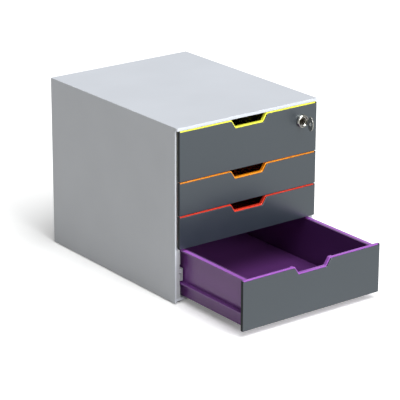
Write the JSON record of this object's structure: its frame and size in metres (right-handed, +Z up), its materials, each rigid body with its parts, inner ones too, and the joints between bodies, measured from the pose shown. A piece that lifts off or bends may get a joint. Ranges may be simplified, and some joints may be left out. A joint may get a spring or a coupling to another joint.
{
  "type": "desktop drawer box",
  "caption": "Desktop drawer box: a light housing with stacked hanging drawers, dark fronts over coloured trays, finger notches and a keyed cam lock; the bottom drawer stands open.",
  "frame": {"origin": "on the desk, in the middle of the housing's footprint", "axes": "+X to the box's right as one stands in front of it, +Y to its back, +Z up"},
  "size_m": [0.28, 0.516, 0.292],
  "materials": {
    "housing_grey": "light grey polystyrene, fine satin grain",
    "cover_anthracite": "anthracite, satin, fine grain",
    "drawer_yellow": "yellow, polished mould",
    "drawer_orange": "orange, polished mould",
    "drawer_red": "red, polished mould",
    "drawer_purple": "purple, polished mould",
    "lock_chrome": "bright nickel plating",
    "zinc_steel": "zinc plated steel, dull",
    "foot_rubber": "black soft rubber"
  },
  "bodies": {
    "housing": {"housing_shell": "housing_grey", "base_plate": "housing_grey", "back_panel": "housing_grey", "runner_panel_left": "housing_grey", "runner_panel_right": "housing_grey", "lock_catch": "zinc_steel", "catch_screws": "zinc_steel", "foot_front_left": "foot_rubber", "foot_front_right": "foot_rubber", "foot_rear_left": "foot_rubber", "foot_rear_right": "foot_rubber"},
    "bottom_drawer": {"drawer_bottom": "drawer_purple", "front_cover_bottom": "cover_anthracite"},
    "third_drawer": {"drawer_third": "drawer_red", "front_cover_third": "cover_anthracite"},
    "second_drawer": {"drawer_second": "drawer_orange", "front_cover_second": "cover_anthracite"},
    "top_drawer": {"drawer_top": "drawer_yellow", "front_cover_top": "cover_anthracite", "lock_housing": "lock_chrome", "lock_nut": "zinc_steel"},
    "lock_core": {"lock_plug": "lock_chrome", "lock_cam": "zinc_steel", "cam_screw": "zinc_steel", "key": "lock_chrome"}
  },
  "joints": [
    {"name": "bottom_slide", "type": "slide", "parent": "housing", "child": "bottom_drawer", "axis": [0, -1, 0], "range_m": [-0.16, 0.12]},
    {"name": "third_slide", "type": "slide", "parent": "housing", "child": "third_drawer", "axis": [0, -1, 0], "range_m": [0, 0.28]},
    {"name": "second_slide", "type": "slide", "parent": "housing", "child": "second_drawer", "axis": [0, -1, 0], "range_m": [0, 0.28]},
    {"name": "top_slide", "type": "slide", "parent": "housing", "child": "top_drawer", "axis": [0, -1, 0], "range_m": [0, 0.28]},
    {"name": "lock_turn", "type": "hinge", "parent": "top_drawer", "child": "lock_core", "pos_m": [0.106, -0.17, 0.26], "axis": [0, 1, 0], "range_deg": [0, 90]}
  ]
}
